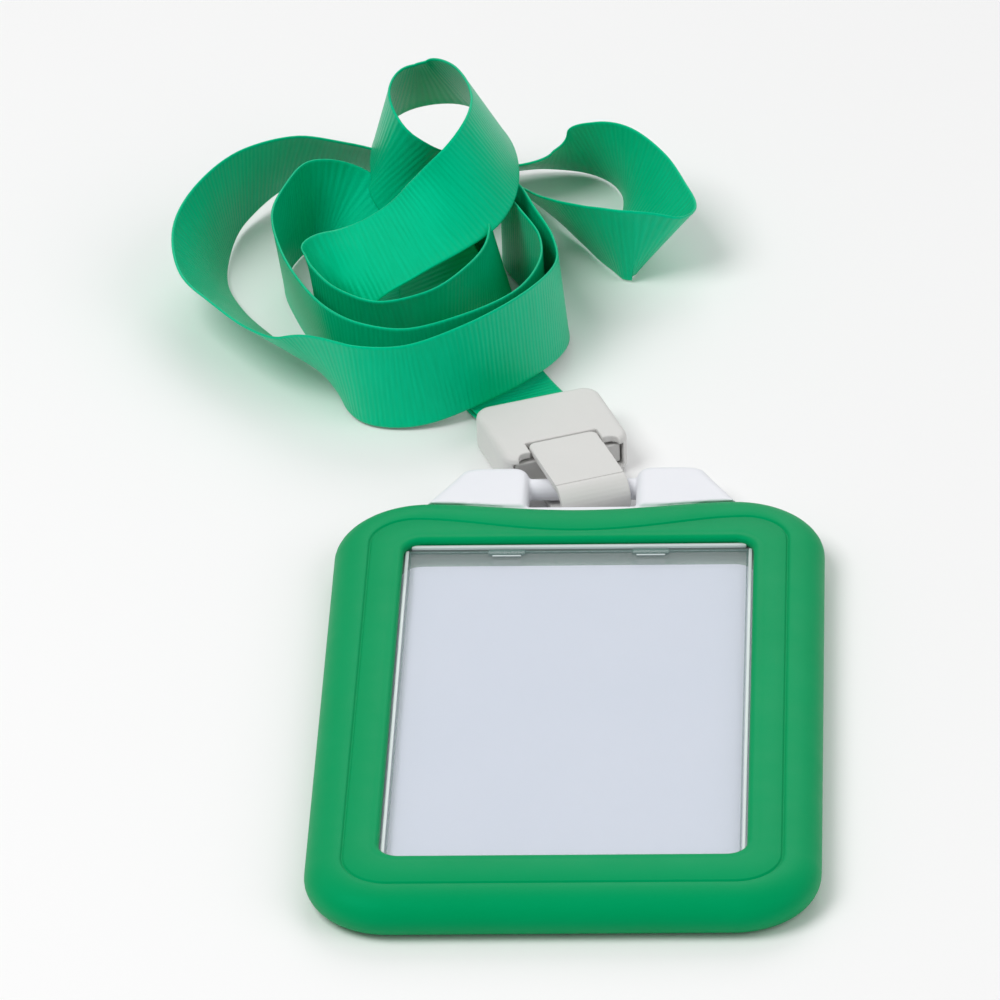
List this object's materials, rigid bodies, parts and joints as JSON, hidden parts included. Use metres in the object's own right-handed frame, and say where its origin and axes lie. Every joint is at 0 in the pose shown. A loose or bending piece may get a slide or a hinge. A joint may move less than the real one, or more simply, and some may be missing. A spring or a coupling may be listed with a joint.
{
  "type": "lanyard badge holder",
  "caption": "Upright card holder with a soft green frame and clear case, a white hanger with a bar, a strap-hook clip round the bar, and a loose satin neck ribbon.",
  "frame": {"origin": "centre of the case's flat back face, on the surface the part lies on, below the middle of the card window", "axes": "+Y along the card's long side towards the hanger, the clip and the ribbon; +X along the card's short side; +Z out of the front of the card window"},
  "size_m": [0.1054, 0.2244, 0.0298],
  "materials": {
    "soft_frame": "satin",
    "clear_case": "gloss",
    "card": "matte",
    "white_plastic": "satin",
    "ivory_plastic": "matte",
    "satin_ribbon": "satin"
  },
  "bodies": {
    "clip": {"clip_sleeve": "ivory_plastic", "hook_body": "ivory_plastic", "ribbon": "satin_ribbon"},
    "gate": {"hook_gate": "ivory_plastic"},
    "holder": {"silicone_frame": "soft_frame", "front_cover": "clear_case", "back_cover": "clear_case", "insert_card": "card", "hanger": "white_plastic"}
  },
  "joints": [
    {"name": "holder_swing", "type": "hinge", "parent": "clip", "child": "holder", "pos_m": [0, 0.063, 0.0034], "axis": [-1, 0, 0], "range_deg": [-100, 70]},
    {"name": "gate_open", "type": "hinge", "parent": "clip", "child": "gate", "pos_m": [0.00115, 0.06104, 0.0066], "axis": [0.9336, 0.3584, 0], "range_deg": [0, 45]}
  ]
}
